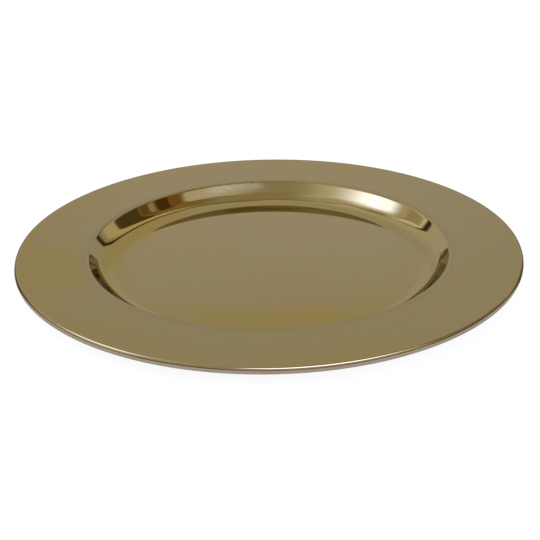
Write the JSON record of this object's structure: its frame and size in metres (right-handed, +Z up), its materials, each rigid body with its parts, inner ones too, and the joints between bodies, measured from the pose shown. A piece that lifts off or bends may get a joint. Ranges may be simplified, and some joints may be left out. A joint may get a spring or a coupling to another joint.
{
  "type": "charger plate",
  "caption": "Round polished gold-coloured metal charger plate with a shallow swept well, a broad flat rim and an outer edge rolled over a stiffening wire.",
  "frame": {"origin": "centre of the underside of the well floor, on the surface that the plate stands on", "axes": "+Z up along the plate's axis of symmetry"},
  "size_m": [0.33, 0.33, 0.0132],
  "materials": {
    "polished_gold": "polished, clear lacquered",
    "wire_steel": "drawn wire"
  },
  "bodies": {
    "root": {"plate_shell": "polished_gold", "rim_wire": "wire_steel"}
  },
  "joints": []
}
